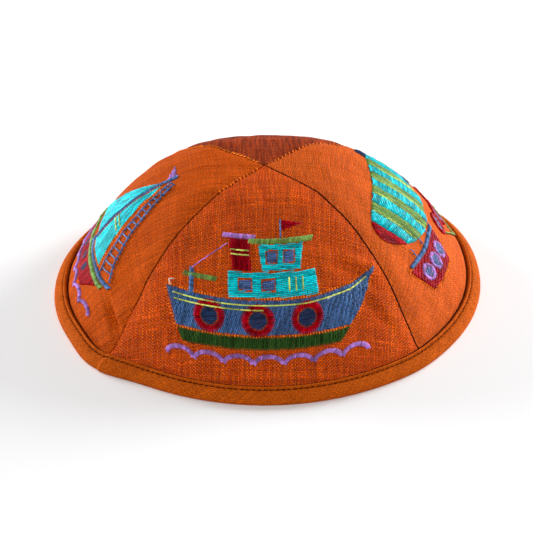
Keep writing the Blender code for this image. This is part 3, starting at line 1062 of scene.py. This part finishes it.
def lighthouse():
    """A banded lighthouse on a rock, with its beams, and a gull and two waves on each side."""
    work = Needlework(2)
    bands = ((14.5, 20.5), (21, 27), (27.5, 33), (33.5, 38.5))
    for (low, high), thread in zip(bands, 2 * ("dark_red", "turquoise")):
        half_low, half_high = 8.4 - 0.09 * (low - 14.5), 8.4 - 0.09 * (high - 14.5)
        outline = [(-half_low, low), (half_low, low), (half_high, high), (-half_high, high)]
        work.fill(thread, outline, turn=2, length=0.0042, wave=0.0007)
    work.satin("steel_blue", [(-8.0, 39.7), (8.0, 39.7)], 1.8)
    work.fill("lime", box(-3.6, 40.9, 3.6, 45.6), turn=90, length=0.0060, lift=LAMP_LIFT)
    work.fill("dark_red", [(-5.2, 46.0), (5.2, 46.0), (0, 50.0)], turn=0, length=0.0036)
    for side in (-1, 1):
        for low, high in ((42.0, 38.5), (43.3, 43.3), (44.6, 47.6)):
            work.run("lime", [(side * 6.2, low), (side * 23.0, high)])
        gull = np.array([(24, 30.5), (27.4, 33.0), (30.2, 30.0), (33, 33.0), (36.4, 30.5)])
        work.satin("steel_blue", gull * (side, 1), 1.2)
        for x in (27.5, 39.0):
            work.satin("mauve", arc((side * x, 12.2), 5.4, 168, 12, tall=0.62), 1.5)
    rock = np.array([(-20, 11.4), (-15, 16.0), (-9.4, 14.0), (9.4, 14.0), (14, 16.5), (20, 11.4)])
    work.ticks(rock)
    work.fill("dark_green", rock, turn=12, length=0.0034, wave=0.0009)
    for place in ((0, 24.0), (0, 36.0)):
        work.fill("navy", disc(place, 1.7), turn=90, length=0.0030, lift=INLAY_LIFT)
    work.finish("lighthouse_embroidery", "silk_back")


def sailing_boat():
    """A sailing boat with two sails and a pennant, on three waves."""
    work = Needlework(3)
    main_sail = np.array([(3.0, 25.5), (3.0, 62.0), (22.5, 25.5)])
    fore_sail = np.array([(-0.4, 27.0), (-0.4, 60.0), (-20.0, 27.0)])
    hull = np.array([(-27, 22.0), (-18.5, 13.6), (22, 13.6), (33, 22.0)])
    work.ticks(main_sail)
    work.fill("turquoise", main_sail, turn=-58, length=0.0042, wave=0.0008)
    work.fill("turquoise", fore_sail, turn=60, length=0.0042, wave=0.0008)
    for y, right in ((41.0, 13.0), (38.9, 14.0)):
        work.run("lime", [(4.4, y), (right, y)])
    foot, head = np.array([(28.5, 24.8), (36.5, 26.0)]), np.array([(4.2, 66.0), (6.0, 67.0)])
    for start, end in zip(foot, head):
        work.run("steel_blue", [start, end], radius=STAY_RUN)
    for k in range(1, 15):
        rung = foot + (head - foot) * k / 15
        work.run("steel_blue", rung, length=0.0060)
    work.satin("steel_blue", [(1.3, 22.4), (1.3, 68.5)], 1.6)
    work.satin("steel_blue", [(1.3, 23.9), (38.0, 23.9)], 1.5)
    work.fill("mauve", [(0.2, 68.4), (-9.5, 66.2), (0.2, 64.0)], turn=0, length=0.0036)
    work.fill("dark_red", hull, turn=90, length=0.0044, wave=0.0006)
    work.satin("olive", [(-28.4, 21.6), (34.4, 21.6)], 1.9)
    for x in (-13, -4, 5, 14):
        work.fill("navy", disc((x, 17.6), 2.0), turn=90, length=0.0030, lift=INLAY_LIFT)
    for i in range(7):
        work.satin("mauve", arc((-33 + 11.3 * i, 9.6), 5.3, 165, 15, tall=0.50), 1.4)
    work.finish("sailing_boat_embroidery", "silk_left")


def rim_stitching():
    """The line of machine stitches that holds the tape, one short thread for each, dark with the painted
    shade of the pits it lies in.
    """
    ring = np.linspace(0.0, 360.0, TAPE_COLUMNS + 1)
    around = round_the_rim(ring)
    count = round(around[-1] / TAPE_STITCH)
    middles = (np.arange(count) + 0.5) * around[-1] / count
    knots = TAPE_STITCH_LENGTH * (KNOT_PLACES - 0.5)
    azimuth = np.interp(middles[:, None] + knots, around, ring)
    slant = TAPE_STITCH_SLANT * (KNOT_PLACES - 0.5)
    share = share_at_length(azimuth, TAPE_STITCH_LINE + slant)
    out = TAPE_STITCH_OUT + TAPE_THREAD_RADIUS * (KNOT_LIFTS - 1)
    points = wall_points(azimuth, share, out + lapped(azimuth))
    mesh = thread_mesh(points, [TAPE_THREAD_RADIUS] * count, ["top_stitch_thread"] * count)
    finished("rim_stitching", mesh, "binding_tape")


def ditch_threads():
    """Dark cords of painted shadow in the ditch beside the tape, and in those of the seams."""
    azimuth = np.linspace(0.0, 360.0, LINE_KNOTS)
    share = share_at_length(azimuth, TAPE_DITCH_UP * TAPE_LEG)
    lines, radii = [wall_points(azimuth, share, PANEL_WALL / 2 + TAPE_DITCH_RISE)], [TAPE_DITCH_RADIUS]
    for seam in SEAM_SHADOW_LINES:
        share = np.linspace(seam.start, seam.end, LINE_KNOTS)
        azimuth = np.full_like(share, seam.azimuth)
        end = share_at_length(azimuth, TAPE_LEG)
        lines.append(wall_points(azimuth, share * end, PANEL_WALL / 2 - SEAM_SHADOW_DEPTH))
        radii.append(seam.radius)
    mesh = thread_mesh(np.stack(lines), radii, ["tape_thread"] * len(lines), np.ones(LINE_KNOTS))
    finished("ditch_threads", mesh, "binding_tape")


def seam_stitching():
    """Short bright stitches that show on the seams, thickest near the apex and at the back."""
    starts, ends = [], []
    for seam in SEAM_STITCHES:
        share = np.arange(seam.start, seam.end, seam.pitch / RIM_RADIUS)
        stray = RANDOM.uniform(-SEAM_PITCH_STRAY, SEAM_PITCH_STRAY, len(share))
        share = share + stray * seam.pitch / RIM_RADIUS
        reach = seam.reach * RANDOM.uniform(*SEAM_REACHES, len(share))
        reach = np.degrees(reach / (share * RIM_RADIUS))
        lean = SEAM_STITCH_LEAN * seam.reach / RIM_RADIUS
        starts.append(np.stack([seam.azimuth - reach, share - lean], axis=-1))
        ends.append(np.stack([seam.azimuth + reach * SEAM_STITCH_OVER, share + lean], axis=-1))
    starts, ends = np.vstack(starts), np.vstack(ends)
    azimuth = starts[:, :1] * (1 - KNOT_PLACES) + ends[:, :1] * KNOT_PLACES
    share = starts[:, 1:] * (1 - KNOT_PLACES) + ends[:, 1:] * KNOT_PLACES
    points = wall_points(azimuth, share, PANEL_WALL / 2 + SEAM_STITCH_LIFT * (KNOT_LIFTS - 0.5))
    count = len(points)
    mesh = thread_mesh(points, [SEAM_THREAD_RADIUS] * count, ["ground_thread"] * count)
    finished("seam_stitching", mesh, "silk_back")


# Materials
def node(tree, kind, inputs=(), **settings):
    """A node with its settings, and its inputs set to a value or linked to a socket."""
    made = tree.nodes.new(kind)
    for name, value in settings.items():
        setattr(made, name, value)
    for name, value in dict(inputs).items():
        if isinstance(value, bpy.types.NodeSocket):
            tree.links.new(value, made.inputs[name])
        else:
            made.inputs[name].default_value = value
    return made


def maths(tree, operation, *values):
    return node(tree, "ShaderNodeMath", dict(enumerate(values)), operation=operation).outputs[0]


def product(tree, first, *others):
    for other in others:
        first = maths(tree, "MULTIPLY", first, other)
    return first


def blend(tree, share, *colours):
    """A mix of two colours, each of them three numbers or a socket."""
    a, b = (colour if isinstance(colour, bpy.types.NodeSocket) else (*colour, 1.0) for colour in colours)
    return node(tree, "ShaderNodeMix", {0: share, 6: a, 7: b}, data_type="RGBA").outputs[2]


def scaled(tree, colour, share):
    return node(tree, "ShaderNodeVectorMath", {0: colour, "Scale": share}, operation="SCALE").outputs[0]


def flat_point(tree, x, y):
    return node(tree, "ShaderNodeCombineXYZ", {"X": x, "Y": y}).outputs[0]


def noise(tree, place, scale, detail, **inputs):
    """Noise from 0 to 1, mostly near its middle."""
    inputs = {"Vector": place, "Scale": scale, "Detail": detail, **inputs}
    return node(tree, "ShaderNodeTexNoise", inputs).outputs["Fac"]


def ranged(tree, value, start, end, low, high, **settings):
    """Value from start to end mapped to low to high, and no further."""
    inputs = {"Value": value, "From Min": start, "From Max": end, "To Min": low, "To Max": high}
    return node(tree, "ShaderNodeMapRange", inputs, **settings).outputs[0]


def uneven(tree, value, share, start=0.0, end=1.0):
    """Value from start to end mapped to 1, less or more that share."""
    return ranged(tree, value, start, end, 1 - share, 1 + share)


def principled(name, **inputs):
    """A new material and its node tree and shader, with constant inputs set on the shader."""
    material = bpy.data.materials.new(name)
    material.use_nodes = True
    shader = material.node_tree.nodes["Principled BSDF"]
    for socket, value in inputs.items():
        shader.inputs[socket.replace("_", " ")].default_value = value
    return material, material.node_tree, shader


def shade(tree, shader, colour, height, strength, distance):
    """Gives the shader its colour and the relief of that height."""
    bump = node(tree, "ShaderNodeBump", {"Height": height, "Strength": strength, "Distance": distance})
    tree.links.new(colour, shader.inputs["Base Color"])
    tree.links.new(bump.outputs[0], shader.inputs["Normal"])


Strands = namedtuple("Strands", "wave tone slub")


def strands(tree, along, across, cloth):
    """One set of the weave's threads: their round profile, their own tone and their thick places."""
    drift = flat_point(tree, product(tree, along, STRAY_ALONG), product(tree, across, STRAY_ACROSS))
    drift = maths(tree, "SUBTRACT", noise(tree, drift, 1.0, 2.0), 0.5)
    strayed = maths(tree, "MULTIPLY_ADD", drift, cloth.stray, across)
    place = maths(tree, "DIVIDE", strayed, cloth.pitch)
    index = maths(tree, "FLOOR", place)
    own = node(tree, "ShaderNodeTexWhiteNoise", {"W": index}, noise_dimensions="1D").outputs["Value"]
    slub = flat_point(tree, product(tree, along, SLUB_ALONG), product(tree, index, SLUB_APART))
    slub = noise(tree, slub, 1.0, 1.0)
    return Strands(
        wave=maths(tree, "SINE", product(tree, place, math.pi)),
        tone=maths(tree, "ADD", product(tree, own, 0.5), product(tree, slub, 0.5)),
        slub=slub,
    )


def woven(name, cloth):
    """Plain-woven cloth of two colours of thread, in the piece's own cloth coordinates."""
    material, tree, shader = principled(name, Roughness=CLOTH_ROUGHNESS, Specular_IOR_Level=CLOTH_GLOSS)
    flat = node(tree, "ShaderNodeUVMap", uv_map="cloth").outputs[0]
    place = node(tree, "ShaderNodeSeparateXYZ", {0: flat}).outputs
    cos, sin = math.cos(math.radians(cloth.turn)), math.sin(math.radians(cloth.turn))
    u = maths(tree, "ADD", product(tree, place[0], cos), product(tree, place[1], sin))
    v = maths(tree, "SUBTRACT", product(tree, place[1], cos), product(tree, place[0], sin))
    warp, weft = strands(tree, v, u, cloth), strands(tree, u, v, cloth)

    # Which thread is on top, and how high it stands
    over = ranged(tree, product(tree, warp.wave, weft.wave), -WEAVE_EDGE, WEAVE_EDGE, 0.0, 1.0,
                  interpolation_type="SMOOTHSTEP")
    rounds = [maths(tree, "ABSOLUTE", thread.wave) for thread in (weft, warp)]
    height = node(tree, "ShaderNodeMix", {0: over, 2: rounds[0], 3: rounds[1]}).outputs[0]
    colour = blend(tree, over, blend(tree, weft.tone, cloth.weft_dark, cloth.weft_light),
                   blend(tree, warp.tone, cloth.warp_dark, cloth.warp_light))

    # How bright it is, with painted shade in the weave's low places and painted light on the tops of its
    # threads
    pits = ranged(tree, height, 0.0, 1.0, cloth.pit, THREAD_TOP_LIGHT)
    cloud = noise(tree, node(tree, "ShaderNodeTexCoord").outputs["Object"], PATCH_SCALE, 3.0)
    ribs = maths(tree, "SINE", product(tree, u, 2 * math.pi / RIB_PITCH))
    ribs = maths(tree, "MULTIPLY_ADD", ribs, cloth.ribs, 1.0)
    large = product(tree, pits, uneven(tree, cloud, cloth.patches), ribs)
    grain = noise(tree, flat, GRAIN_SCALE, 2.0, Roughness=0.6)
    streak = flat_point(tree, product(tree, u, STREAK_ACROSS), product(tree, v, STREAK_ALONG))
    streak = noise(tree, streak, 1.0, 2.0)
    small = product(tree, uneven(tree, grain, cloth.specks, *GRAIN_RANGE),
                    uneven(tree, streak, cloth.streaks, *STREAK_RANGE))
    slubs = ranged(tree, weft.slub, *SLUB_RANGE, 0.0, cloth.slubs)
    lit = maths(tree, "ADD", product(tree, large, small), slubs)

    # Pale fibres on top of it all
    fleck = ranged(tree, noise(tree, flat, NAP_SCALE, 1.0), *NAP_RANGE, 0.0, cloth.flecks)
    colour = blend(tree, fleck, scaled(tree, colour, lit), cloth.fleck_colour)
    raised = maths(tree, "ADD", height, product(tree, slubs, SLUB_RELIEF))
    shade(tree, shader, colour, raised, cloth.relief, CLOTH_RELIEF)
    return material


def thread_material(thread):
    """Shiny twisted thread, a little uneven in tone from stitch to stitch."""
    gloss = [GLOSS_WHITE + (1 - GLOSS_WHITE) * share / max(thread.colour) for share in thread.colour]
    material, tree, shader = principled(thread.name, Roughness=thread.roughness,
                                        Specular_IOR_Level=thread.gloss, Specular_Tint=(*gloss, 1.0))
    place = node(tree, "ShaderNodeTexCoord").outputs["Object"]
    own = node(tree, "ShaderNodeAttribute", attribute_name="tone").outputs["Fac"]
    lit = product(tree, uneven(tree, noise(tree, place, TWIST_SCALE, 2.0), TWIST_SHADE),
                  uneven(tree, noise(tree, place, FADING_SCALE, 1.0), FADING_SHADE),
                  ranged(tree, own, 0.0, 1.0, *STITCH_TONES))
    fibres = noise(tree, place, FIBRE_SCALE, 1.0)
    shade(tree, shader, scaled(tree, thread.colour, lit), fibres, FIBRE_STRENGTH, FIBRE_RELIEF)
    return material


# Stage
def floor():
    bm = bmesh.new()
    bmesh.ops.create_grid(bm, x_segments=1, y_segments=1, size=FLOOR_SIZE)
    mesh = bpy.data.meshes.new("floor")
    bm.to_mesh(mesh)
    bm.free()
    material, _, _ = principled("pale_floor", Base_Color=FLOOR_COLOUR, Roughness=FLOOR_ROUGHNESS,
                                Specular_IOR_Level=FLOOR_GLOSS)
    mesh.materials.append(material)
    made = placed("floor", mesh)


def soft_light(lamp):
    data = bpy.data.lights.new(lamp.name, "AREA")
    data.shape = "DISK"
    data.size = lamp.size
    data.energy = lamp.power
    made = placed(lamp.name, data)
    made.location = lamp.place
    made.rotation_euler = Vector(lamp.place).to_track_quat("Z", "Y").to_euler()


def pale_world():
    world = bpy.data.worlds.new("studio")
    world.use_nodes = True
    background = world.node_tree.nodes["Background"]
    background.inputs["Color"].default_value = (1.0, 1.0, 1.0, 1.0)
    background.inputs["Strength"].default_value = WORLD_STRENGTH
    bpy.context.scene.world = world


def camera():
    data = bpy.data.cameras.new("camera")
    data.lens, data.sensor_width = CAMERA_LENS, SENSOR_WIDTH
    data.clip_start, data.clip_end = NEAREST_SEEN, FARTHEST_SEEN
    made = placed("camera", data)
    rise = math.radians(CAMERA_ELEVATION)
    back = Vector((0.0, -math.cos(rise), math.sin(rise)))
    made.location = CAMERA_TARGET + CAMERA_DISTANCE * back
    made.rotation_euler = back.to_track_quat("Z", "Y").to_euler()
    bpy.context.scene.camera = made


camera()
pale_world()
floor()
for lamp in LAMPS:
    soft_light(lamp)
MATERIALS = {thread.name: thread_material(thread) for thread in THREADS}
for index, (side, cloth) in enumerate(SILKS.items()):
    silk_panel(index, side, woven(f"{side}_raw_silk", cloth))
rim_tape(woven("bias_tape", TAPE_CLOTH))
rim_stitching()
ditch_threads()
seam_stitching()
tugboat()
airship()
lighthouse()
sailing_boat()
bpy.context.scene.view_settings.view_transform = "Standard"
